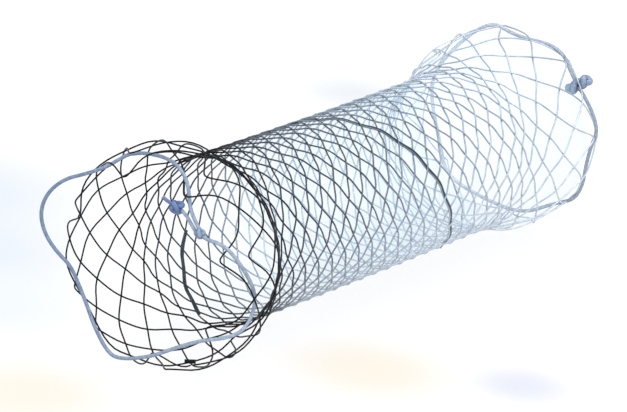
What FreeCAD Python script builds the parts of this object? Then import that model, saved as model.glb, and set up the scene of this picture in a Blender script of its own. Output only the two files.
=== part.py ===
import FreeCAD, Part
import math
import os

# A braided duodenal stent with a flare at each end, lying on its side on the two flares.
# Millimetres and degrees. The axis runs along +X, from the near mouth to the far rim.
# A place on the tube is (x, r, angle): angle 90 is the top and 180 the side nearest the viewer.
# An angle is counted in half steps, from one node of the braid to the next one beside it.

# Braid: nodes on a ring, ring pitches in each stretch, crowns by their place in half steps
NODES = 15
NEAR_STEPS = 7
BODY_STEPS = 36
FAR_STEPS = 8
FIRST_NODE_ANGLE = 1.3
ODD_RING_TURN = 1.9
NEAR_SHORT_CROWNS = (2, 6, 10, 14, 18, 22, 26, 28)
FAR_SHORT_CROWNS = (1, 3, 7, 11, 15, 19, 23, 27)

# Places along the axis, from the tips of the near crowns
X_NEAR_CROSSINGS = 3.3
X_NEAR_WIDEST = 6.1
X_NEAR_NECK = 13.7
X_FAR_NECK = 65.8
X_FAR_WIDEST = 76.5
X_FAR_CROSSINGS = 78.6
X_FAR_TIPS = 81.1
# How the rings of a flare draw apart: share and power of the part that isn't even
NEAR_SPREAD = (0.57, 2)
FAR_SPREAD = (0.4, 4)
NEAR_SHORT_CROWN_RISE = 0.9
FAR_SHORT_CROWN_RISE = 1.3

# Radii of the braid, at the middle of its thickness
R_BODY = 10.0
R_NEAR_WIDEST = 13.5
R_NEAR_TIPS = 10.5
R_FAR_WIDEST = 12.6
R_FAR_TIPS = 12.3

# The far flare leans up from the axis of the body, over a short bend at its neck
FAR_LEAN = 5.0
FAR_BEND_LENGTH = 4.0

# Wire: a three-sided section with the area of the round wire
WIRE_DIAMETER = 0.2
WIRE_SIDES = 3
WEAVE_CLEARANCE = 0.04
CROWN_TIP_HALF_ANGLE = 2.2
CROWN_TIP_ROUNDING = 0.3

# Sleeve that joins the two ends of the wire, on one arm of a long near crown
SLEEVE_LENGTH = 1.3
SLEEVE_DIAMETER = 0.5
SLEEVE_CROSSING = 20
SLEEVE_PLACE = 0.6
WIRE_END_GAP = 0.1

# Stretches where a second wire lies beside the first: first crossing on the near ring, ring from, ring to
LAP_NEAR = (16, 8, 13)
LAP_MIDDLE = (14, 21, 36)
LAP_CLEARANCE = 0.03

# Membrane inside the body and the far flare
MEMBRANE_WALL = 0.12
MEMBRANE_CLEARANCE = 0.03
MEMBRANE_FLARE_RINGS = (47, 48, 49, 50, 51)
MEMBRANE_SIDES = 30
MITRE_MARGIN = 0.45
MITRE_STEP = 0.06

# Thread: a limp cord of one size, drawn with a five-sided section
THREAD_DIAMETER = 0.45
THREAD_SIDES = 5
BEND_SHARE = 0.45

# Threads and knots, as points in the tube's own frame: x from the near crown tips, y and z about its axis
# Near thread: from the lower knot around the mouth, out into a free loop, back to the knot
NEAR_LASSO = (
    (0.76, -7.35, 4.35),
    (0.42, -8.41, 4.05),
    (0.15, -9.98, 4.06),
    (0.82, -11.44, 3.02),
    (2.62, -12.92, -0.71),
    (4.77, -12.05, -3.51),
    (4.41, -11.55, -5.83),
    (2.74, -11.23, -7.04),
    (1.34, -9.82, -7.59),
    (0.19, -7.59, -7.85),
    (-0.01, -3.61, -9.46),
    (-0.67, -0.97, -10.67),
    (-0.63, 3.59, -11.69),
    (-0.81, 5.16, -10.75),
    (-0.55, 7.08, -8.08),
    (-0.26, 8.15, -6.05),
    (-0.40, 9.49, -3.08),
    (-0.80, 10.18, -1.29),
    (-1.50, 11.79, 0.43),
    (-2.00, 12.97, 2.52),
    (-2.21, 13.36, 4.91),
    (-1.83, 12.60, 7.20),
    (-1.18, 10.63, 9.00),
    (-0.41, 8.19, 9.77),
    (1.30, 6.35, 10.50),
    (2.79, 5.78, 11.12),
    (4.11, 4.74, 11.86),
    (3.85, 1.99, 12.16),
    (2.65, -1.21, 12.32),
    (1.51, -3.75, 11.88),
    (0.60, -5.46, 10.55),
    (0.74, -5.65, 8.71),
    (0.74, -5.71, 7.50),
    (0.63, -6.41, 6.14),
    (0.71, -7.15, 4.87),
)
# The thread between the two near knots, and its free tail
NEAR_LINK = (
    (0.60, -4.60, 7.07),
    (0.62, -5.28, 6.57),
    (0.65, -5.85, 5.68),
    (0.72, -6.60, 4.61),
)
NEAR_TAIL = (
    (0.55, -3.48, 7.57),
    (0.47, -2.78, 7.88),
    (0.30, -2.20, 8.35),
)
# Far thread: in and out through the far crowns, and inside them at the bottom, both ends in the far knots
FAR_LASSO = (
    (79.44, -10.42, 7.01),
    (80.25, -13.33, 2.49),
    (80.36, -11.42, -1.39),
    (81.11, -9.91, -7.81),
    (81.06, -5.96, -9.06),
    (81.02, -1.52, -10.97),
    (81.14, 3.58, -10.12),
    (81.08, 9.96, -7.78),
    (80.50, 10.55, -3.72),
    (79.15, 11.55, 4.26),
    (79.35, 9.27, 8.59),
    (79.06, 2.45, 14.19),
    (79.21, -1.27, 12.36),
    (79.19, -7.84, 11.92),
    (79.71, -9.38, 8.19),
    (79.42, -10.29, 7.22),
)
# Knots: two end points and the widest radius
UPPER_NEAR_KNOT = ((0.55, -3.27, 7.69), (0.60, -4.74, 7.01), 0.82)
LOWER_NEAR_KNOT = ((0.72, -6.72, 5.00), (0.72, -7.45, 4.20), 0.60)
INNER_FAR_KNOT = ((79.76, -9.18, 7.31), (79.84, -9.92, 6.19), 0.78)
OUTER_FAR_KNOT = ((80.16, -10.33, 8.06), (80.24, -11.07, 6.94), 0.72)
KNOT_FORM = ((0, 0.62), (0.25, 1.0), (0.5, 0.86), (0.75, 1.0), (1, 0.62))
KNOT_SIDES = 8

# At rest on two nodes of each flare: turned about the axis, then run slightly down to the smaller one
REST_ROLL = -7.29
REST_TILT = 1.56

RINGS = NEAR_STEPS + BODY_STEPS + FAR_STEPS
TURN = 2 * NODES
HALF_STEP = 360.0 / TURN
WIRE_CORNER = math.sqrt(math.pi * WIRE_DIAMETER ** 2 / (2 * WIRE_SIDES * math.sin(2 * math.pi / WIRE_SIDES)))
WEAVE_OFFSET = WIRE_CORNER + WEAVE_CLEARANCE / 2
OUT = "parts"


def vec(x, y, z):
    return FreeCAD.Vector(x, y, z)


def spread(t, share, power):
    return (1 - share) * t + share * t ** power


def ring_x(j):
    # Rings of crossings are even in the body and draw apart in the flares.
    if j < NEAR_STEPS:
        t = (NEAR_STEPS - j) / NEAR_STEPS
        return X_NEAR_NECK - (X_NEAR_NECK - X_NEAR_CROSSINGS) * spread(t, *NEAR_SPREAD)
    if j <= NEAR_STEPS + BODY_STEPS:
        return X_NEAR_NECK + (X_FAR_NECK - X_NEAR_NECK) * (j - NEAR_STEPS) / BODY_STEPS
    t = (j - NEAR_STEPS - BODY_STEPS) / FAR_STEPS
    return X_FAR_NECK + (X_FAR_CROSSINGS - X_FAR_NECK) * spread(t, *FAR_SPREAD)


def flare(x, neck, widest, tip, r_widest, r_tip):
    u = (x - neck) / (widest - neck)
    if u < 1:
        return R_BODY + (r_widest - R_BODY) * (1 - math.cos(math.pi * u)) / 2
    v = min((x - widest) / (tip - widest), 1)
    return r_tip + (r_widest - r_tip) * math.sqrt(1 - v * v)


def radius(x):
    if x < X_NEAR_NECK:
        return flare(x, X_NEAR_NECK, X_NEAR_WIDEST, 0, R_NEAR_WIDEST, R_NEAR_TIPS)
    if x > X_FAR_NECK:
        return flare(x, X_FAR_NECK, X_FAR_WIDEST, X_FAR_TIPS, R_FAR_WIDEST, R_FAR_TIPS)
    return R_BODY


def angle(j, p):
    # Every other ring of the body and the far flare is turned a little; the near flare's are even.
    turned = j % 2 and j >= NEAR_STEPS
    return FIRST_NODE_ANGLE + HALF_STEP * p + (ODD_RING_TURN if turned else 0)


def spot(x, r, a):
    # A place on the tube as a point, with the bend at the far neck.
    across = r * math.cos(math.radians(a))
    up = r * math.sin(math.radians(a))
    past = x - X_FAR_NECK
    if past <= 0:
        return vec(x, across, up)
    full = math.radians(FAR_LEAN)
    lean = full * min(past / FAR_BEND_LENGTH, 1)
    bend = FAR_BEND_LENGTH / full
    straight = max(past - FAR_BEND_LENGTH, 0)
    cx = X_FAR_NECK + bend * math.sin(lean) + straight * math.cos(lean)
    cz = bend * (1 - math.cos(lean)) + straight * math.sin(lean)
    return vec(cx - up * math.sin(lean), across, cz + up * math.cos(lean))


def node(j, p, rising):
    # One strand passes over at every other crossing and under at the rest.
    over = (j % 2 == 0) == rising
    r = radius(ring_x(j)) + (WEAVE_OFFSET if over else -WEAVE_OFFSET)
    return (ring_x(j), r, angle(j, p))


def crown_tip(x, r, a, back):
    side = CROWN_TIP_HALF_ANGLE
    return [(x + back, r, a - side), (x, r, a), (x + back, r, a + side)]


def next_crossing(p, short, parity):
    q = p + 2
    while q % TURN in short or q % 2 != parity:
        q += 2
    return q


def near_end(p):
    # From the crossing p on the first ring, over a crown, back to where the next strand starts.
    q = p % TURN
    if q in NEAR_SHORT_CROWNS:
        x = X_NEAR_CROSSINGS - NEAR_SHORT_CROWN_RISE
        return p, crown_tip(x, radius(x), angle(0, p), CROWN_TIP_ROUNDING)
    after = next_crossing(p, NEAR_SHORT_CROWNS, 0)
    x = X_NEAR_CROSSINGS / 2
    r = (radius(X_NEAR_CROSSINGS) + R_NEAR_TIPS) / 2
    arm_in = (x, r, angle(0, p) + HALF_STEP)
    arm_out = (x, r, angle(0, after) - HALF_STEP)
    tip = crown_tip(0, R_NEAR_TIPS, angle(0, (p + after) / 2), CROWN_TIP_ROUNDING)
    return after, [arm_in] + tip + [arm_out]


def far_end(q):
    if q % TURN in FAR_SHORT_CROWNS:
        x = X_FAR_CROSSINGS + FAR_SHORT_CROWN_RISE
        return q, crown_tip(x, radius(x), angle(RINGS, q), -CROWN_TIP_ROUNDING)
    after = next_crossing(q, FAR_SHORT_CROWNS, RINGS % 2)
    x = (X_FAR_CROSSINGS + X_FAR_TIPS) / 2
    arm_in = (x, radius(x), angle(RINGS, q) + HALF_STEP)
    arm_out = (x, radius(x), angle(RINGS, after) - HALF_STEP)
    tip = crown_tip(X_FAR_TIPS, R_FAR_TIPS, angle(RINGS, (q + after) / 2), -CROWN_TIP_ROUNDING)
    return after, [arm_in] + tip + [arm_out]


def braid():
    # The whole braid is one wire. It starts and ends on the arm that carries the sleeve.
    places = []
    p = SLEEVE_CROSSING
    while True:
        p, crown = near_end(p)
        places += crown
        first = 1 if p % TURN in NEAR_SHORT_CROWNS else 0
        last = RINGS - 1 if (p + RINGS) % TURN in FAR_SHORT_CROWNS else RINGS
        places += [node(j, p + j, True) for j in range(first, last + 1)]
        q, crown = far_end(p + RINGS)
        places += crown
        p = q + RINGS
        first = 1 if p % TURN in NEAR_SHORT_CROWNS else 0
        last = RINGS - 1 if q % TURN in FAR_SHORT_CROWNS else RINGS
        places += [node(j, p - j, False) for j in range(last, first - 1, -1)]
        if p % TURN == SLEEVE_CROSSING:
            return places


def rest(point):
    # Turns the tube about its axis and tilts it about its near end, so that both flares lie on the floor.
    roll = math.radians(REST_ROLL)
    tilt = math.radians(REST_TILT)
    across = point.y * math.cos(roll) - point.z * math.sin(roll)
    up = point.y * math.sin(roll) + point.z * math.cos(roll)
    x = point.x * math.cos(tilt) + up * math.sin(tilt)
    return vec(x, across, up * math.cos(tilt) - point.x * math.sin(tilt))


def at_rest(shape, shift):
    # The same for a finished shape.
    shape.rotate(vec(0, 0, 0), vec(1, 0, 0), REST_ROLL)
    shape.rotate(vec(0, 0, 0), vec(0, 1, 0), REST_TILT)
    shape.translate(shift)
    return shape


def section(centre, along, corner, sides):
    # A regular polygon of points around centre, square to the direction along.
    aside = along.cross(vec(0, 0, 1) if abs(along.z) < 0.8 else vec(1, 0, 0)).normalize()
    up = along.cross(aside)
    turns = [2 * math.pi * k / sides for k in range(sides)]
    return [centre + aside * (corner * math.cos(t)) + up * (corner * math.sin(t)) for t in turns]


def flat_face(points):
    return Part.Face(Part.makePolygon(points + points[:1]))


def skin(first, second):
    # Flat four-sided faces between two sections with as many points.
    count = len(first)
    sides = [(k, (k + 1) % count) for k in range(count)]
    return [flat_face([first[k], first[m], second[m], second[k]]) for k, m in sides]


def closed_solid(faces):
    solid = Part.Solid(Part.Shell(faces))
    if solid.Volume < 0:
        solid.reverse()
    return solid


def bent_rod(points, corner, sides):
    # A rod with flat sides along a line of points, mitred at each bend.
    ways = [(b - a).normalize() for a, b in zip(points, points[1:])]
    start = section(points[0], ways[0], corner, sides)
    faces = [flat_face(start)]
    for k, way in enumerate(ways):
        mitre = way + ways[k + 1] if k + 1 < len(ways) else way
        reach = [(points[k + 1] - c).dot(mitre) / way.dot(mitre) for c in start]
        end = [c + way * s for c, s in zip(start, reach)]
        faces += skin(start, end)
        start = end
    return closed_solid(faces + [flat_face(start)])


def knot(a, b, widest, shift):
    # A knot as a faceted body with two turns of thread showing, from a to b.
    a = rest(vec(*a)) + shift
    b = rest(vec(*b)) + shift
    way = (b - a).normalize()
    sections = [section(a + (b - a) * share, way, widest * swell, KNOT_SIDES) for share, swell in KNOT_FORM]
    faces = [flat_face(sections[0]), flat_face(sections[-1])]
    for first, second in zip(sections, sections[1:]):
        faces += skin(first, second)
    return closed_solid(faces)


def cord(name, places, shift):
    # Straight runs joined by tangent arcs, with a flat-sided section of the thread's area.
    points = [rest(vec(*place)) + shift for place in places]
    edges = []
    radii = []
    start = points[0]
    for before, corner, after in zip(points, points[1:], points[2:]):
        back = (before - corner).normalize()
        ahead = (after - corner).normalize()
        turn = math.pi - math.acos(back.dot(ahead))
        cut = BEND_SHARE * min((before - corner).Length, (after - corner).Length)
        bend = cut / math.tan(turn / 2)
        middle = corner + (back + ahead).normalize() * (bend / math.cos(turn / 2) - bend)
        edges.append(Part.LineSegment(start, corner + back * cut).toShape())
        edges.append(Part.Arc(corner + back * cut, middle, corner + ahead * cut).toShape())
        radii.append(bend)
        start = corner + ahead * cut
    edges.append(Part.LineSegment(start, points[-1]).toShape())
    spine = Part.Wire(edges)
    way = (points[1] - points[0]).normalize()
    area = math.pi * THREAD_DIAMETER ** 2 / 4
    corner = math.sqrt(2 * area / (THREAD_SIDES * math.sin(2 * math.pi / THREAD_SIDES)))
    outline = section(points[0], way, corner, THREAD_SIDES)
    body = spine.makePipeShell([Part.makePolygon(outline + outline[:1])], True, False)
    print("%s bend radii %s, length %.1f, volume / (section x length) %.4f" % (
        name, " ".join("%.1f" % r for r in radii), spine.Length, body.Volume / (area * spine.Length)))
    return body


def wire_path(shift):
    points = [rest(spot(*place)) + shift for place in braid()]
    a, b = points[-1], points[0]
    middle = a + (b - a) * SLEEVE_PLACE
    way = (b - a).normalize()
    return [middle + way * (WIRE_END_GAP / 2)] + points + [middle - way * (WIRE_END_GAP / 2)]


def rest_shift():
    # Centres the wire along X and Y and sets its lowest corner on the floor.
    points = [rest(spot(*place)) for place in braid()]
    xs = [p.x for p in points]
    ys = [p.y for p in points]
    return vec(-(min(xs) + max(xs)) / 2, -(min(ys) + max(ys)) / 2, WIRE_CORNER - min(p.z for p in points))


def sleeve(points):
    way = (points[0] - points[-1]).normalize()
    middle = (points[0] + points[-1]) / 2
    start = middle - way * (SLEEVE_LENGTH / 2)
    tube = Part.makeCylinder(SLEEVE_DIAMETER / 2, SLEEVE_LENGTH, start, way)
    bore = section(points[0] - way * SLEEVE_LENGTH, way, WIRE_CORNER, WIRE_SIDES)
    return tube.cut(flat_face(bore).extrude(way * (2 * SLEEVE_LENGTH)))


def membrane_radius(x):
    return radius(x) - WEAVE_OFFSET - WIRE_CORNER - MEMBRANE_CLEARANCE


def round_tube(start, end, r):
    axis = vec(1, 0, 0)
    outer = Part.makeCylinder(r, end - start, vec(start, 0, 0), axis)
    return outer.cut(Part.makeCylinder(r - MEMBRANE_WALL, end - start, vec(start, 0, 0), axis))


def faceted_tube(profile):
    # A wall of flat facets through a line of (x, outer radius at the corners).
    along = vec(1, 0, 0)
    outer = [section(vec(x, 0, 0), along, r, MEMBRANE_SIDES) for x, r in profile]
    inner = [section(vec(x, 0, 0), along, r - MEMBRANE_WALL, MEMBRANE_SIDES) for x, r in profile]
    faces = skin(outer[0], inner[0]) + skin(outer[-1], inner[-1])
    for rings in (outer, inner):
        for first, second in zip(rings, rings[1:]):
            faces += skin(first, second)
    return closed_solid(faces)


def membrane(shift):
    # A round tube through the body and a faceted one through the far flare, mitred at the bend.
    bend = vec(X_FAR_NECK + FAR_BEND_LENGTH / 2, 0, 0)
    r = membrane_radius(X_FAR_NECK)
    past = MITRE_MARGIN + r * math.tan(math.radians(FAR_LEAN))
    tube = round_tube(X_NEAR_NECK, bend.x + past, r)
    start = r + MITRE_STEP
    rings = [(ring_x(j), membrane_radius(ring_x(j))) for j in MEMBRANE_FLARE_RINGS]
    flared = faceted_tube([(bend.x - past, start), (bend.x + MITRE_MARGIN, start)] + rings)
    flared.rotate(bend, vec(0, 1, 0), -FAR_LEAN)
    side = 4 * r
    beyond = Part.makeBox(side, side, side, bend - vec(0, side / 2, side / 2))
    beyond.rotate(bend, vec(0, 1, 0), -FAR_LEAN / 2)
    whole = tube.cut(beyond).fuse(flared.common(beyond)).removeSplitter()
    return at_rest(whole.Solids[0], shift)


def lap_wire(stretch, shift):
    # A second wire beside one rising strand, on its left, following it over and under.
    strand, first, last = stretch
    corner = WIRE_DIAMETER / 2
    aside = WIRE_CORNER + corner + LAP_CLEARANCE
    points = []
    for j in range(first, last + 1):
        here = spot(*node(j, strand + j, True))
        way = spot(*node(j + 1, strand + j + 1, True)) - spot(*node(j - 1, strand + j - 1, True))
        out = vec(0, here.y, here.z)
        left = out.cross(way).normalize()
        points.append(rest(here + left * aside) + shift)
    return bent_rod(points, corner, 6)


def save(name, shape):
    shape.exportStep(os.path.join(OUT, name + ".step"))
    box = shape.BoundBox
    print("%-18s %6d faces %9.3f mm3  x %.2f..%.2f y %.2f..%.2f z %.2f..%.2f valid %s" % (
        name, len(shape.Faces), shape.Volume, box.XMin, box.XMax,
        box.YMin, box.YMax, box.ZMin, box.ZMax, shape.isValid()))


os.makedirs(OUT, exist_ok=True)
shift = rest_shift()
path = wire_path(shift)
print("shift", shift, "points", len(path))
save("braid_wire", bent_rod(path, WIRE_CORNER, WIRE_SIDES))
save("crimp_sleeve", sleeve(path))
save("membrane", membrane(shift))
save("lap_wire_near", lap_wire(LAP_NEAR, shift))
save("lap_wire_middle", lap_wire(LAP_MIDDLE, shift))
save("near_lasso", cord("near_lasso", NEAR_LASSO, shift))
save("near_link", cord("near_link", NEAR_LINK, shift))
save("near_tail", cord("near_tail", NEAR_TAIL, shift))
save("far_lasso", cord("far_lasso", FAR_LASSO, shift))
save("near_knot_upper", knot(*UPPER_NEAR_KNOT, shift))
save("near_knot_lower", knot(*LOWER_NEAR_KNOT, shift))
save("far_knot_inner", knot(*INNER_FAR_KNOT, shift))
save("far_knot_outer", knot(*OUTER_FAR_KNOT, shift))
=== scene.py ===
import math

import bmesh
import bpy
from mathutils import Matrix, Vector


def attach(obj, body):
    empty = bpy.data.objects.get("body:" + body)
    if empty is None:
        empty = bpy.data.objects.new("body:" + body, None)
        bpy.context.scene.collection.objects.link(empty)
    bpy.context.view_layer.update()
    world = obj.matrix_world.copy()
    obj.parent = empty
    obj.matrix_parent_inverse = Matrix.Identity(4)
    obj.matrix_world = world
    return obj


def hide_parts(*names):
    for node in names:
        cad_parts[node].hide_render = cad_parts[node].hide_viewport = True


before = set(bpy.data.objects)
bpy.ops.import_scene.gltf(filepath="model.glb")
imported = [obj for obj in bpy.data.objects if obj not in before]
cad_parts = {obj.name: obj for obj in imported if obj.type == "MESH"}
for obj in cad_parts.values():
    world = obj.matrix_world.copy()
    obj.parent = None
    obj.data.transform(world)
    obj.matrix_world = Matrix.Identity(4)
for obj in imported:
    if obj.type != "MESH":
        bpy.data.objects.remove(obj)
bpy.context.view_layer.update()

MM = 0.001

# The braid, as the part's source has it. Lengths are in millimetres along the tube from the
# tips of the near crowns, radii are those of the middle of the braid, angles are in degrees.
# The body is 0.2 mm larger in radius than the source's and sags a little, as the photograph
# shows it.
NODES = 15
NEAR_STEPS = 7
BODY_STEPS = 36
FAR_STEPS = 8
FIRST_NODE_ANGLE = 1.3
ODD_RING_TURN = 1.9
NEAR_SHORT_CROWNS = (2, 6, 10, 14, 18, 22, 26, 28)
FAR_SHORT_CROWNS = (1, 3, 7, 11, 15, 19, 23, 27)
X_NEAR_CROSSINGS = 3.3
X_NEAR_WIDEST = 6.1
X_NEAR_NECK = 13.7
X_FAR_NECK = 65.8
X_FAR_WIDEST = 76.5
X_FAR_CROSSINGS = 78.6
X_FAR_TIPS = 81.1
NEAR_SPREAD = (0.57, 2)
FAR_SPREAD = (0.4, 4)
NEAR_SHORT_CROWN_RISE = 0.9
FAR_SHORT_CROWN_RISE = 1.3
R_BODY = 10.2
R_NEAR_WIDEST = 13.5
R_NEAR_TIPS = 10.5
R_NEAR_ARMS = 12.5
R_FAR_WIDEST = 12.6
R_FAR_TIPS = 12.3
FAR_LEAN = 5.0
FAR_BEND_LENGTH = 4.0
SAG = 0.4
CROWN_TIP_HALF_ANGLE = 2.2
CROWN_TIP_ROUNDING = 0.3
SLEEVE_CROSSING = 20
SLEEVE_PLACE = 0.6
SLEEVE_GAP = 0.1
REST_ROLL = -7.29
REST_TILT = 1.56
REST_SHIFT = (-40.749, 0.0, 13.966)

RINGS = NEAR_STEPS + BODY_STEPS + FAR_STEPS
TURN = 2 * NODES
HALF_STEP = 360.0 / TURN

# The rings at the near neck crowd less than the source's: how far they move along the tube,
# then, in rings past the neck, where this is strongest and how far it reaches
NECK_SLACK = 0.5
NECK_SLACK_PLACE = 0.5
NECK_SLACK_REACH = 2

# Round wire, and how far each strand of a crossing stands from the middle of the braid
WIRE_RADIUS = 0.1
WEAVE = 0.118

# The second wires: the strand that each lies beside, and its first and last ring
LAP_RADIUS = 0.16
LAP_NEAR = (16, 8, 13)
LAP_MIDDLE = (14, 21, 36)

# The film: how far inside the braid's middle it is, its wall, and the rings of the far flare
# that it follows, past one ring of its own at the bend
FILM_INSET = 0.361
FILM_WALL = 0.08
FILM_SIDES = 120
FILM_RINGS = (47, 48, 49, 50, 51)
FILM_BEND = (68.25, 9.9)

# Steps along each stretch of a curve, and steps of its round section
WIRE_FINENESS = (4, 2)
THREAD_FINENESS = (8, 3)
KNOT_FINENESS = (4, 3)

# Points closer than this many metres are left as they are by through()
CROWDED = 0.001
THROUGH_ROUNDS = 12

# The threads' routes, as the part's source has them, in the tube's own frame
THREAD_RADIUS = 0.225
NEAR_LASSO = (
    (0.76, -7.35, 4.35), (0.42, -8.41, 4.05), (0.15, -9.98, 4.06), (0.82, -11.44, 3.02),
    (2.62, -12.92, -0.71), (4.77, -12.05, -3.51), (4.41, -11.55, -5.83), (2.74, -11.23, -7.04),
    (1.34, -9.82, -7.59), (0.19, -7.59, -7.85), (-0.01, -3.61, -9.46), (-0.67, -0.97, -10.67),
    (-0.63, 3.59, -11.69), (-0.81, 5.16, -10.75), (-0.55, 7.08, -8.08), (-0.26, 8.15, -6.05),
    (-0.40, 9.49, -3.08), (-0.80, 10.18, -1.29), (-1.50, 11.79, 0.43), (-2.00, 12.97, 2.52),
    (-2.21, 13.36, 4.91), (-1.83, 12.60, 7.20), (-1.18, 10.63, 9.00), (-0.41, 8.19, 9.77),
    (1.30, 6.35, 10.50), (2.79, 5.78, 11.12), (4.11, 4.74, 11.86), (3.85, 1.99, 12.16),
    (2.65, -1.21, 12.32), (1.51, -3.75, 11.88), (0.60, -5.46, 10.55), (0.74, -5.65, 8.71),
    (0.74, -5.71, 7.50), (0.63, -6.41, 6.14), (0.71, -7.15, 4.87),
)
NEAR_LINK = (
    (0.60, -4.60, 7.07), (0.62, -5.28, 6.57), (0.65, -5.85, 5.68), (0.72, -6.60, 4.61),
)
NEAR_TAIL = (
    (0.55, -3.48, 7.57), (0.47, -2.78, 7.88), (0.30, -2.20, 8.35),
)
FAR_LASSO = (
    (79.44, -10.42, 7.01), (80.25, -13.33, 2.49), (80.36, -11.42, -1.39), (81.11, -9.91, -7.81),
    (81.06, -5.96, -9.06), (81.02, -1.52, -10.97), (81.14, 3.58, -10.12), (81.08, 9.96, -7.78),
    (80.50, 10.55, -3.72), (79.15, 11.55, 4.26), (79.35, 9.27, 8.59), (79.06, 2.45, 14.19),
    (79.21, -1.27, 12.36), (79.19, -7.84, 11.92), (79.71, -9.38, 8.19), (79.42, -10.29, 7.22),
)

# The knots: their two ends in the tube's own frame, the reach of the strand and its radius
KNOT_DEPTH = 0.6
KNOT_POINTS = 24
UPPER_NEAR = ((0.55, -3.27, 7.69), (0.60, -4.74, 7.01), 0.64, 0.31)
LOWER_NEAR = ((0.72, -6.72, 5.00), (0.72, -7.45, 4.20), 0.42, 0.29)
INNER_FAR = ((79.76, -9.18, 7.31), (79.84, -9.92, 6.19), 0.80, 0.42)
OUTER_FAR = ((80.16, -10.33, 8.06), (80.24, -11.07, 6.94), 0.80, 0.42)

# The wire's colour fades to a painted paleness along one direction of the scene, and past the
# near flare along another; the paleness is painted light, a bright surround painted into the
# wire's
# colour: each has its direction, and the first and last millimetre of the change along it.
# The threads' colour changes from front to back.
PAINTED_LIGHT_FADE = ((1.0, 1.15, -2.77), -82.9, 7.1)
NECK_PAINTED_LIGHT_FADE = ((1.0, -0.8, 0.24), -20.7, -10.7)
FRONT_TO_BACK_FADE = ((0.0, 1.0, 0.0), -9, 9)
WIRE_BLACK = "#101316"

# The floor, and patches of it: centre and reach in metres, and colour
FLOOR_HALF_WIDTH = 3
FLOOR_WHITE = "#FEFEFF"
FLOOR_PATCHES = (
    ((0.066, 0.040), 0.012, "#E6EAF0"),
    ((-0.009, -0.033), 0.010, "#DFE3F0"),
    ((-0.005, 0.053), 0.026, "#DFE7F2"),
    ((-0.022, 0.040), 0.026, "#DFE7F2"),
    ((-0.035, 0.028), 0.020, "#E9F0F8"),
    ((-0.054, 0.006), 0.017, "#F8EEDD"),
    ((-0.018, -0.018), 0.016, "#F6ECDA"),
)

# The photograph's camera, worked out from the braid's crossings: where it stands, and its axes
CAMERA_EYE = (-0.556405, -0.342663, 0.242568)
CAMERA_RIGHT = (0.553162, -0.828099, 0.090910)
CAMERA_UP = (0.231491, 0.257620, 0.938107)
CAMERA_BACK = (-0.800265, -0.497880, 0.334203)
CAMERA_LENS = 329.12
CAMERA_SENSOR = 36


def spread(t, share, power):
    return (1 - share) * t + share * t ** power


def ring_x(j):
    if j < NEAR_STEPS:
        t = (NEAR_STEPS - j) / NEAR_STEPS
        x = X_NEAR_NECK - (X_NEAR_NECK - X_NEAR_CROSSINGS) * spread(t, *NEAR_SPREAD)
    elif j <= NEAR_STEPS + BODY_STEPS:
        x = X_NEAR_NECK + (X_FAR_NECK - X_NEAR_NECK) * (j - NEAR_STEPS) / BODY_STEPS
    else:
        t = (j - NEAR_STEPS - BODY_STEPS) / FAR_STEPS
        x = X_FAR_NECK + (X_FAR_CROSSINGS - X_FAR_NECK) * spread(t, *FAR_SPREAD)
    past = (j - NEAR_STEPS - NECK_SLACK_PLACE) / NECK_SLACK_REACH
    return x + NECK_SLACK * math.exp(-past ** 2)


def flare(x, neck, widest, tip, r_widest, r_tip):
    u = (x - neck) / (widest - neck)
    if u < 1:
        return R_BODY + (r_widest - R_BODY) * (1 - math.cos(math.pi * u)) / 2
    v = min((x - widest) / (tip - widest), 1)
    return r_tip + (r_widest - r_tip) * math.sqrt(1 - v * v)


def radius(x):
    if x < X_NEAR_NECK:
        return flare(x, X_NEAR_NECK, X_NEAR_WIDEST, 0, R_NEAR_WIDEST, R_NEAR_TIPS)
    if x > X_FAR_NECK:
        return flare(x, X_FAR_NECK, X_FAR_WIDEST, X_FAR_TIPS, R_FAR_WIDEST, R_FAR_TIPS)
    return R_BODY


def angle(j, p):
    # The source turns every other ring of the body and the far flare a little. Real wire runs
    # smooth, so here each ring has the middle of the two, reached over the last rings of the
    # near flare.
    settled = min(max(j - NEAR_STEPS / 2, 0) / (NEAR_STEPS / 2), 1)
    return FIRST_NODE_ANGLE + HALF_STEP * p + settled * ODD_RING_TURN / 2


def at_rest():
    # The tube lies on both flares: turned about its axis, then run slightly down to the smaller
    # one.
    tilt = Matrix.Rotation(math.radians(REST_TILT), 4, "Y")
    roll = Matrix.Rotation(math.radians(REST_ROLL), 4, "X")
    return Matrix.Scale(MM, 4) @ Matrix.Translation(REST_SHIFT) @ tilt @ roll


def in_place(points):
    # Points of the tube's own frame, where the tube lies at rest.
    place = at_rest()
    return [place @ Vector(p) for p in points]


def station(x):
    # Where the tube's section at x stands: the axis sags a little, and bends up past the far
    # neck.
    past = max(x - X_FAR_NECK, 0)
    full = math.radians(FAR_LEAN)
    lean = full * min(past / FAR_BEND_LENGTH, 1)
    bend = FAR_BEND_LENGTH / full
    straight = max(past - FAR_BEND_LENGTH, 0)
    along = min(x, X_FAR_NECK) + bend * math.sin(lean) + straight * math.cos(lean)
    sag = SAG * math.sin(math.pi * x / X_FAR_TIPS)
    rise = bend * (1 - math.cos(lean)) + straight * math.sin(lean) - sag
    return at_rest() @ Matrix.Translation((along, 0, rise)) @ Matrix.Rotation(-lean, 4, "Y")


def spot(x, r, a):
    turn = math.radians(a)
    return station(x) @ Vector((0, r * math.cos(turn), r * math.sin(turn)))


def node(j, p, rising):
    over = (j % 2 == 0) == rising
    return (ring_x(j), radius(ring_x(j)) + (WEAVE if over else -WEAVE), angle(j, p))


def crown_tip(x, r, a, back):
    side = CROWN_TIP_HALF_ANGLE
    return [(x + back, r, a - side), (x, r, a), (x + back, r, a + side)]


def long_crown(arm, tip, start, end, back):
    # Two arms with the tip between them, from the angle start to the angle end. The arm and
    # the tip are an x and a radius each.
    arm_in = (*arm, start + HALF_STEP)
    arm_out = (*arm, end - HALF_STEP)
    return [arm_in] + crown_tip(*tip, (start + end) / 2, back) + [arm_out]


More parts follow.
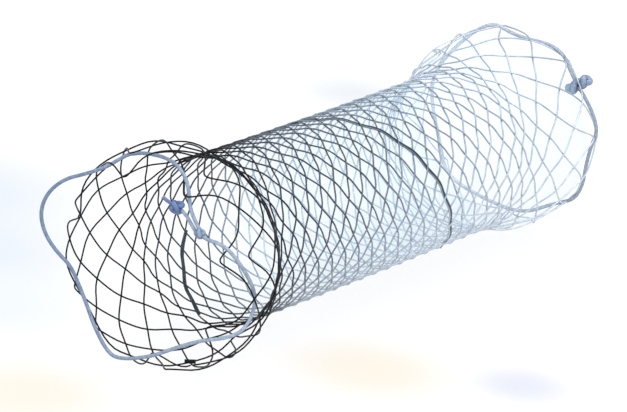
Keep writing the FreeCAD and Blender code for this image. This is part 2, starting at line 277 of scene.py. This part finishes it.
def next_crossing(p, short, parity):
    q = p + 2
    while q % TURN in short or q % 2 != parity:
        q += 2
    return q


def near_end(p):
    if p % TURN in NEAR_SHORT_CROWNS:
        x = X_NEAR_CROSSINGS - NEAR_SHORT_CROWN_RISE
        return p, crown_tip(x, radius(x), angle(0, p), CROWN_TIP_ROUNDING)
    after = next_crossing(p, NEAR_SHORT_CROWNS, 0)
    return after, long_crown((X_NEAR_CROSSINGS / 2, R_NEAR_ARMS), (0, R_NEAR_TIPS),
                             angle(0, p), angle(0, after), CROWN_TIP_ROUNDING)


def far_end(q):
    if q % TURN in FAR_SHORT_CROWNS:
        x = X_FAR_CROSSINGS + FAR_SHORT_CROWN_RISE
        return q, crown_tip(x, radius(x), angle(RINGS, q), -CROWN_TIP_ROUNDING)
    after = next_crossing(q, FAR_SHORT_CROWNS, RINGS % 2)
    x = (X_FAR_CROSSINGS + X_FAR_TIPS) / 2
    return after, long_crown((x, radius(x)), (X_FAR_TIPS, R_FAR_TIPS),
                             angle(RINGS, q), angle(RINGS, after), -CROWN_TIP_ROUNDING)


def strand_rings(p, q):
    # The rings from the near crossing p to the far crossing q. A short crown's own crossing
    # is left out, because the crown turns before it.
    first = 1 if p % TURN in NEAR_SHORT_CROWNS else 0
    last = RINGS - 1 if q % TURN in FAR_SHORT_CROWNS else RINGS
    return range(first, last + 1)


def braid():
    # The places of one wire, up and down the tube from crown to crown until it is back where
    # it began.
    places = []
    p = SLEEVE_CROSSING
    while True:
        p, crown = near_end(p)
        places += crown
        places += [node(j, p + j, True) for j in strand_rings(p, p + RINGS)]
        q, crown = far_end(p + RINGS)
        places += crown
        p = q + RINGS
        places += [node(j, p - j, False) for j in reversed(strand_rings(p, q))]
        if p % TURN == SLEEVE_CROSSING:
            return places


def through(points):
    # Control points whose spline runs through the points. Where points crowd, as at the tip of
    # a crown, they are control points themselves, and the wire rounds the tip inside them.
    # A spline of order 3 passes a point at an eighth of the way to both of its neighbours.
    held = list(points)
    gaps = [(b - a).length for a, b in zip(points, points[1:])]
    for _ in range(THROUGH_ROUNDS):
        for k in range(1, len(points) - 1):
            if min(gaps[k - 1], gaps[k]) > CROWDED:
                held[k] = (8 * points[k] - held[k - 1] - held[k + 1]) / 6
    return held


def new_object(name, data):
    obj = bpy.data.objects.new(name, data)
    bpy.context.collection.objects.link(obj)
    return obj


def new_curve(name, points, thickness, fineness, cyclic=False):
    data = bpy.data.curves.new(name, "CURVE")
    data.dimensions = "3D"
    data.bevel_depth = thickness
    data.resolution_u, data.bevel_resolution = fineness
    data.use_fill_caps = True
    spline = data.splines.new("NURBS")
    spline.points.add(len(points) - 1)
    for target, point in zip(spline.points, points):
        target.co = (*point, 1)
    spline.use_cyclic_u = cyclic
    spline.order_u = 3
    spline.use_endpoint_u = not cyclic
    return new_object(name, data)


def new_mesh(name, mesh):
    data = bpy.data.meshes.new(name)
    mesh.to_mesh(data)
    mesh.free()
    return new_object(name, data)


def linear(hex_colour):
    parts = [int(hex_colour[k:k + 2], 16) / 255 for k in (1, 3, 5)]
    return (*[c / 12.92 if c <= 0.04045 else ((c + 0.055) / 1.055) ** 2.4 for c in parts], 1)


def add(tree, kind, settings=(), links=()):
    # One shader node with its settings, and links from (node, output) to its inputs. Stops are
    # the positions and colours of a colour ramp.
    made = tree.nodes.new(kind)
    for key, value in dict(settings).items():
        if key == "stops":
            elements = made.color_ramp.elements
            while len(elements) < len(value):
                elements.new(1.0)
            for element, (position, colour) in zip(elements, value):
                element.position = position
                element.color = linear(colour)
        elif isinstance(key, str) and hasattr(made, key):
            setattr(made, key, value)
        else:
            made.inputs[key].default_value = value
    for key, (source, output) in dict(links).items():
        tree.links.new(source.outputs[output], made.inputs[key])
    return made


def change_along(tree, place, way, first, last):
    # Runs from 0 to 1 between two distances, in millimetres, along one direction.
    along = add(tree, "ShaderNodeVectorMath", {"operation": "DOT_PRODUCT", 1: way},
                {0: (place, "Object")})
    return add(tree, "ShaderNodeMapRange", {"From Min": first * MM, "From Max": last * MM},
               {"Value": (along, "Value")})


def new_material(name):
    material = bpy.data.materials.new(name)
    material.use_nodes = True
    tree = material.node_tree
    tree.nodes.clear()
    return material, tree


def drawn_wire_material(name, *oxide_and_painted_light_stops):
    # Nickel titanium wire, drawn through a die and heat set: satin, near black with oxide at
    # the near flare, and past it painted paler along the tube, towards its underside and its
    # back:
    # painted light, a bright surround painted into the wire's colour, with faint patches.
    material, tree = new_material(name)
    place = add(tree, "ShaderNodeTexCoord")
    # Painted light: the wire paler along the tube, towards its underside and its back
    fade = change_along(tree, place, *PAINTED_LIGHT_FADE)
    pale = add(tree, "ShaderNodeValToRGB", {"stops": oxide_and_painted_light_stops}, {"Fac": (fade, "Result")})
    # Near black oxide at the near flare, giving way past it to the painted light paleness
    past_neck = change_along(tree, place, *NECK_PAINTED_LIGHT_FADE)
    wire_tone_with_painted_light = add(tree, "ShaderNodeMix", {"data_type": "RGBA", 6: linear(WIRE_BLACK)},
               {0: (past_neck, "Result"), 7: (pale, "Color")})
    # Patches of oxide, 0.9 to the millimetre
    patches = add(tree, "ShaderNodeTexNoise", {"Scale": 0.9 / MM, "Detail": 3.0},
                  {"Vector": (place, "Object")})
    shade = add(tree, "ShaderNodeValToRGB", {"stops": ((0.35, "#D8DCE2"), (0.7, "#FFFFFF"))},
                {"Fac": (patches, "Fac")})
    tint = add(tree, "ShaderNodeMix", {"data_type": "RGBA", "blend_type": "MULTIPLY", 0: 1.0},
               {6: (wire_tone_with_painted_light, 2), 7: (shade, "Color")})
    # Marks of the die, 30 to the millimetre. Real ones are finer, and too fine to show.
    grain = add(tree, "ShaderNodeTexNoise", {"Scale": 30.0 / MM, "Detail": 2.0},
                {"Vector": (place, "Object")})
    bump = add(tree, "ShaderNodeBump", {"Strength": 0.12, "Distance": 0.01 * MM},
               {"Height": (grain, "Fac")})
    shader = add(tree, "ShaderNodeBsdfPrincipled", {"Metallic": 0.85, "Roughness": 0.45},
                 {"Base Color": (tint, 2), "Normal": (bump, "Normal")})
    add(tree, "ShaderNodeOutputMaterial", {}, {"Surface": (shader, "BSDF")})
    return material


def membrane_material():
    # Silicone film, dip coated: clear with the least blue, a little thicker and so milkier
    # past the near neck, smooth, with a soft ripple.
    material, tree = new_material("silicone_film_dip_coated")
    place = add(tree, "ShaderNodeTexCoord")
    axes = add(tree, "ShaderNodeSeparateXYZ", {}, {"Vector": (place, "Object")})
    milk = add(tree, "ShaderNodeMapRange",
               {"From Min": -24 * MM, "From Max": 2 * MM, "To Min": 0.025, "To Max": 0.11},
               {"Value": (axes, "X")})
    # Clouds in the film, each about 8 mm
    cloud = add(tree, "ShaderNodeTexNoise", {"Scale": 0.12 / MM, "Detail": 2.0},
                {"Vector": (place, "Object")})
    uneven = add(tree, "ShaderNodeMapRange",
                 {"From Min": 0.35, "From Max": 0.75, "To Min": 0.75, "To Max": 1.2},
                 {"Value": (cloud, "Fac")})
    haze = add(tree, "ShaderNodeMath", {"operation": "MULTIPLY"},
               {0: (milk, "Result"), 1: (uneven, "Result")})
    # Ripples left by the dip, each about 2 mm
    ripple = add(tree, "ShaderNodeTexNoise", {"Scale": 0.5 / MM, "Detail": 2.0},
                 {"Vector": (place, "Object")})
    bump = add(tree, "ShaderNodeBump", {"Strength": 0.3, "Distance": 0.1 * MM},
               {"Height": (ripple, "Fac")})
    shader = add(tree, "ShaderNodeBsdfPrincipled",
                 {"Base Color": linear("#BFDFF0"), "Roughness": 0.25, "IOR": 1.41},
                 {"Alpha": (haze, "Value"), "Normal": (bump, "Normal")})
    add(tree, "ShaderNodeOutputMaterial", {}, {"Surface": (shader, "BSDF")})
    return material


def thread_material(name, transmission, front, back=None):
    # Polyester suture, braided fine and coated: translucent blue, on a long thread changing
    # colour from front to back, and darker at its sides, a painted shade that turns with the
    # view.
    material, tree = new_material(name)
    place = add(tree, "ShaderNodeTexCoord")
    # The suture's fine braid, 2.5 strands to the millimetre
    strands = add(tree, "ShaderNodeTexNoise", {"Scale": 2.5 / MM, "Detail": 3.0},
                  {"Vector": (place, "Object")})
    weave = add(tree, "ShaderNodeValToRGB", {"stops": ((0.35, "#CDD6E4"), (0.65, "#FFFFFF"))},
                {"Fac": (strands, "Fac")})
    tint = add(tree, "ShaderNodeMix",
               {"data_type": "RGBA", "blend_type": "MULTIPLY", 0: 1.0, 6: linear(front)},
               {7: (weave, "Color")})
    if back:
        # The thread's colour changes from front to back of the scene
        across = change_along(tree, place, *FRONT_TO_BACK_FADE)
        front_to_back_colour = add(tree, "ShaderNodeValToRGB", {"stops": ((0.0, front), (1.0, back))},
                  {"Fac": (across, "Result")})
        tree.links.new(front_to_back_colour.outputs["Color"], tint.inputs[6])
    # Painted shade: the thread darker at its sides, where its surface turns away from the eye
    side = add(tree, "ShaderNodeLayerWeight", {"Blend": 0.35})
    painted_side_shade = add(tree, "ShaderNodeValToRGB", {"stops": ((0.2, "#FFFFFF"), (0.85, "#74839F"))},
                {"Fac": (side, "Facing")})
    both = add(tree, "ShaderNodeMix", {"data_type": "RGBA", "blend_type": "MULTIPLY", 0: 1.0},
               {6: (tint, 2), 7: (painted_side_shade, "Color")})
    bump = add(tree, "ShaderNodeBump", {"Strength": 0.25, "Distance": 0.03 * MM},
               {"Height": (strands, "Fac")})
    shader = add(tree, "ShaderNodeBsdfPrincipled",
                 {"Roughness": 0.35, "IOR": 1.4, "Transmission Weight": transmission},
                 {"Base Color": (both, 2), "Normal": (bump, "Normal")})
    add(tree, "ShaderNodeOutputMaterial", {}, {"Surface": (shader, "BSDF")})
    return material


def floor_material():
    # White board lit from below, like a light table, with faint patches of blue and cream.
    material, tree = new_material("white_board_lit")
    place = add(tree, "ShaderNodeTexCoord")
    colour = None
    for centre, reach, patch in FLOOR_PATCHES:
        away = add(tree, "ShaderNodeVectorMath", {"operation": "DISTANCE", 1: (*centre, 0)},
                   {0: (place, "Object")})
        near = add(tree, "ShaderNodeMapRange",
                   {"interpolation_type": "SMOOTHERSTEP", "From Min": reach, "From Max": 0.0},
                   {"Value": (away, "Value")})
        before = {6: (colour, 2)} if colour else {}
        colour = add(tree, "ShaderNodeMix",
                     {"data_type": "RGBA", 6: linear(FLOOR_WHITE), 7: linear(patch)},
                     {0: (near, "Result"), **before})
    shader = add(tree, "ShaderNodeBsdfPrincipled",
                 {"Base Color": linear("#707070"), "Roughness": 0.9,
                  "Specular IOR Level": 0.0, "Emission Strength": 0.8},
                 {"Emission Color": (colour, 2)})
    add(tree, "ShaderNodeOutputMaterial", {}, {"Surface": (shader, "BSDF")})
    return material


def dress(obj, material, slot_name, *nodes):
    obj.data.materials.append(material)
    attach(obj, "root")
    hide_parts(*nodes)
    return obj


def thread_piece(name, route, material, replaced):
    obj = new_curve(name, in_place(route), THREAD_RADIUS * MM, THREAD_FINENESS)
    return dress(obj, material, "thread", replaced)


def knot_piece(name, knot, material, replaced):
    # An overhand knot pulled tight: one strand over and under itself, set along the thread.
    a, b, reach, strand_radius = knot
    start, end = in_place((a, b))
    turn = (end - start).normalized().to_track_quat("Z", "Y").to_matrix().to_4x4()
    place = Matrix.Translation((start + end) / 2) @ turn
    depth = (end - start).length / 2 * KNOT_DEPTH
    points = []
    for k in range(KNOT_POINTS):
        t = 2 * math.pi * k / KNOT_POINTS
        across = reach * MM * (math.sin(t) + 2 * math.sin(2 * t)) / 3
        up = reach * MM * (math.cos(t) - 2 * math.cos(2 * t)) / 3
        points.append(place @ Vector((across, up, -depth * math.sin(3 * t))))
    obj = new_curve(name, points, strand_radius * MM, KNOT_FINENESS, True)
    return dress(obj, material, "knot", replaced)


def braid_piece(material):
    # The wire's two ends meet inside the sleeve, with a small gap between them.
    points = [spot(*place) for place in braid()]
    a, b = points[-1], points[0]
    middle = a.lerp(b, SLEEVE_PLACE)
    way = (b - a).normalized() * (SLEEVE_GAP / 2 * MM)
    points = [middle + way] + points + [middle - way]
    obj = new_curve("braid", through(points), WIRE_RADIUS * MM, WIRE_FINENESS)
    return dress(obj, material, "wire", "braid_wire")


def lap_piece(name, stretch, material, replaced):
    # A wire that touches the side of one strand of the braid all along.
    strand, first, last = stretch
    points = []
    for j in range(first, last + 1):
        before, here, after = [spot(*node(k, strand + k, True)) for k in (j - 1, j, j + 1)]
        out = here - station(ring_x(j)).translation
        beside = out.cross(after - before).normalized()
        points.append(here + beside * ((WIRE_RADIUS + LAP_RADIUS) * MM))
    obj = new_curve(name, through(points), LAP_RADIUS * MM, WIRE_FINENESS)
    return dress(obj, material, "wire", replaced)


def membrane_piece(material):
    # Rings of the film, each a copy of the last moved to its own station, given a wall
    # afterwards.
    r_body = R_BODY - FILM_INSET
    profile = [(X_NEAR_NECK, r_body), (X_NEAR_NECK + 1, r_body), (X_FAR_NECK, r_body), FILM_BEND]
    profile += [(ring_x(j), radius(ring_x(j)) - FILM_INSET) for j in FILM_RINGS]
    places = [station(x) @ Matrix.Diagonal((1, r, r, 1)) for x, r in profile]
    mesh = bmesh.new()
    upright = places[0] @ Matrix.Rotation(math.radians(90), 4, "Y")
    bmesh.ops.create_circle(mesh, segments=FILM_SIDES, radius=1, matrix=upright)
    edge = list(mesh.edges)
    for before, after in zip(places, places[1:]):
        grown = bmesh.ops.extrude_edge_only(mesh, edges=edge)["geom"]
        edge = [g for g in grown if isinstance(g, bmesh.types.BMEdge)]
        verts = [g for g in grown if isinstance(g, bmesh.types.BMVert)]
        bmesh.ops.transform(mesh, matrix=after @ before.inverted(), verts=verts)
    bmesh.ops.recalc_face_normals(mesh, faces=mesh.faces)
    obj = new_mesh("membrane_film", mesh)
    obj.data.shade_smooth()
    wall = obj.modifiers.new("wall", "SOLIDIFY")
    wall.thickness = FILM_WALL * MM
    wall.offset = -1
    return dress(obj, material, "membrane", "membrane")


def floor_piece():
    mesh = bmesh.new()
    bmesh.ops.create_grid(mesh, x_segments=1, y_segments=1, size=FLOOR_HALF_WIDTH)
    obj = new_mesh("floor", mesh)
    obj.data.materials.append(floor_material())


def soft_light(name, place, size, watts, colour):
    # A round soft light that faces the middle of the floor.
    light = bpy.data.lights.new(name, "AREA")
    light.shape = "DISK"
    light.size = size
    light.energy = watts
    light.color = linear(colour)[:3]
    obj = new_object(name, light)
    obj.location = place
    obj.rotation_euler = Vector(place).to_track_quat("Z", "Y").to_euler()


def studio():
    world = bpy.data.worlds.new("studio")
    world.use_nodes = True
    backdrop = world.node_tree.nodes["Background"]
    backdrop.inputs["Color"].default_value = linear("#F4F7FB")
    backdrop.inputs["Strength"].default_value = 1.0
    bpy.context.scene.world = world
    bpy.context.scene.view_settings.view_transform = "Standard"
    soft_light("top_softbox", (0.0, -0.1, 0.9), 1.2, 8, "#FFFFFF")
    soft_light("front_softbox", (-0.7, -0.7, 0.5), 0.7, 3, "#FFFDF8")


def photo_camera():
    camera = bpy.data.cameras.new("photo_camera")
    camera.sensor_width = CAMERA_SENSOR
    camera.lens = CAMERA_LENS
    camera.clip_start = 0.01
    camera.clip_end = 20
    obj = new_object("photo_camera", camera)
    turn = Matrix((CAMERA_RIGHT, CAMERA_UP, CAMERA_BACK)).transposed()
    obj.matrix_world = Matrix.Translation(CAMERA_EYE) @ turn.to_4x4()
    bpy.context.scene.camera = obj


photo_camera()
studio()
floor_piece()

# Each wire's stops run from its dark oxide colour to a painted light paleness
wire = drawn_wire_material("nickel_titanium_wire_drawn", (0.0, "#474D54"), (0.17, "#646B73"),
                           (0.33, "#919BA6"), (0.5, "#B3BDC7"), (0.67, "#CCD4DD"),
                           (1.0, "#D9E0E7"))
dark_wire = drawn_wire_material("nickel_titanium_wire_oxidised", (0.0, "#1E252C"),
                                (0.5, "#5A6570"), (1.0, "#8E99A4"))
black_wire = drawn_wire_material("nickel_titanium_wire_blackened", (0.0, "#0C0E11"),
                                 (1.0, "#181C21"))
film = membrane_material()
thread = thread_material("polyester_suture_blue", 0.35, "#B2C1D2", "#899CB7")
pale_thread = thread_material("polyester_suture_pale", 0.5, "#B3C0CD", "#E9EEF3")
knotted = thread_material("polyester_suture_knotted", 0.3, "#7890BE")
pale_knotted = thread_material("polyester_suture_knotted_pale", 0.4, "#A9BAD3")

near_thread = thread_piece("near_thread", NEAR_LASSO, thread, "near_lasso")
link_thread = thread_piece("link_thread", NEAR_LINK, thread, "near_link")
tail_thread = thread_piece("tail_thread", NEAR_TAIL, knotted, "near_tail")
far_thread = thread_piece("far_thread", FAR_LASSO, pale_thread, "far_lasso")
upper_knot = knot_piece("upper_near_knot", UPPER_NEAR, knotted, "near_knot_upper")
lower_knot = knot_piece("lower_near_knot", LOWER_NEAR, pale_knotted, "near_knot_lower")
inner_knot = knot_piece("inner_far_knot", INNER_FAR, pale_knotted, "far_knot_inner")
outer_knot = knot_piece("outer_far_knot", OUTER_FAR, pale_knotted, "far_knot_outer")

braid_piece(wire)
lap_piece("lap_near", LAP_NEAR, black_wire, "lap_wire_near")
lap_piece("lap_middle", LAP_MIDDLE, dark_wire, "lap_wire_middle")
membrane_piece(film)

for material_slot in bpy.data.objects["crimp_sleeve"].material_slots:
    material_slot.material = wire
